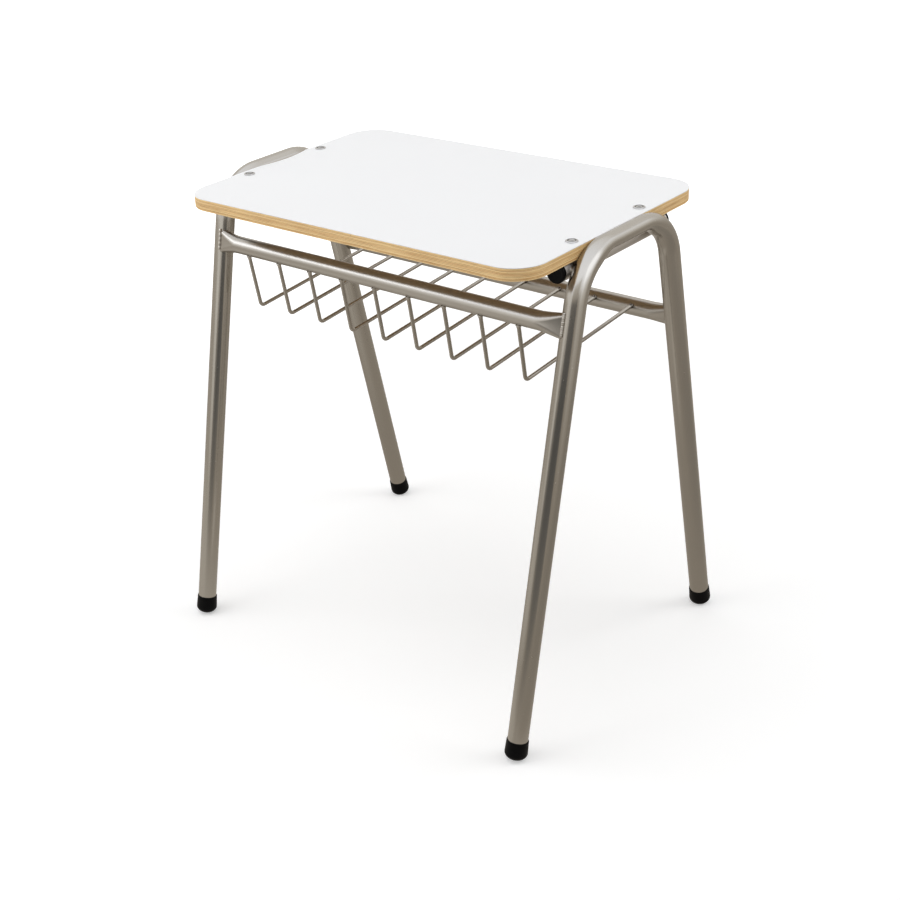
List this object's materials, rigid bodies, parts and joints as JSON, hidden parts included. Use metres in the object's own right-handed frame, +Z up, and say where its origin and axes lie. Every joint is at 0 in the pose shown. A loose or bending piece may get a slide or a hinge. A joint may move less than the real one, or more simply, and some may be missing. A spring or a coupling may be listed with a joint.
{
  "type": "school desk",
  "caption": "School desk with a laminated plywood top on bent-tube end frames, joined by rails that carry a wire book shelf under the top.",
  "frame": {"origin": "on the floor, midway between the feet", "axes": "+X along the long side of the board, +Y towards the pupil's side, where the book shelf is open, +Z up"},
  "size_m": [0.727, 0.5754, 0.767],
  "materials": {
    "laminate": "smooth satin laminate, near white",
    "plywood": "clear lacquered plywood edge",
    "tube_steel": "satin, warm grey",
    "weld_metal": "rippled bead under the same finish",
    "bolt_steel": "bright plated",
    "insert_steel": "zinc plated",
    "black_plastic": "moulded, satin black"
  },
  "bodies": {
    "root": {"back_left_bolt": "bolt_steel", "back_left_foot": "black_plastic", "back_left_threaded_insert": "insert_steel", "back_left_tube_cap": "black_plastic", "back_right_bolt": "bolt_steel", "back_right_foot": "black_plastic", "back_right_threaded_insert": "insert_steel", "back_right_tube_cap": "black_plastic", "basket_wire_1": "tube_steel", "basket_wire_2": "tube_steel", "basket_wire_3": "tube_steel", "basket_wire_4": "tube_steel", "basket_wire_5": "tube_steel", "basket_wire_6": "tube_steel", "basket_wire_7": "tube_steel", "basket_wire_8": "tube_steel", "basket_wire_9": "tube_steel", "front_left_bolt": "bolt_steel", "front_left_foot": "black_plastic", "front_left_threaded_insert": "insert_steel", "front_left_tube_cap": "black_plastic", "front_right_bolt": "bolt_steel", "front_right_foot": "black_plastic", "front_right_threaded_insert": "insert_steel", "front_right_tube_cap": "black_plastic", "left_leg_frame": "tube_steel", "left_support_tube": "tube_steel", "lower_rail": "tube_steel", "rail_weld_beads": "weld_metal", "right_leg_frame": "tube_steel", "right_support_tube": "tube_steel", "support_weld_beads": "weld_metal", "top_laminate": "laminate", "top_panel": "plywood", "upper_rail": "tube_steel"}
  },
  "joints": []
}
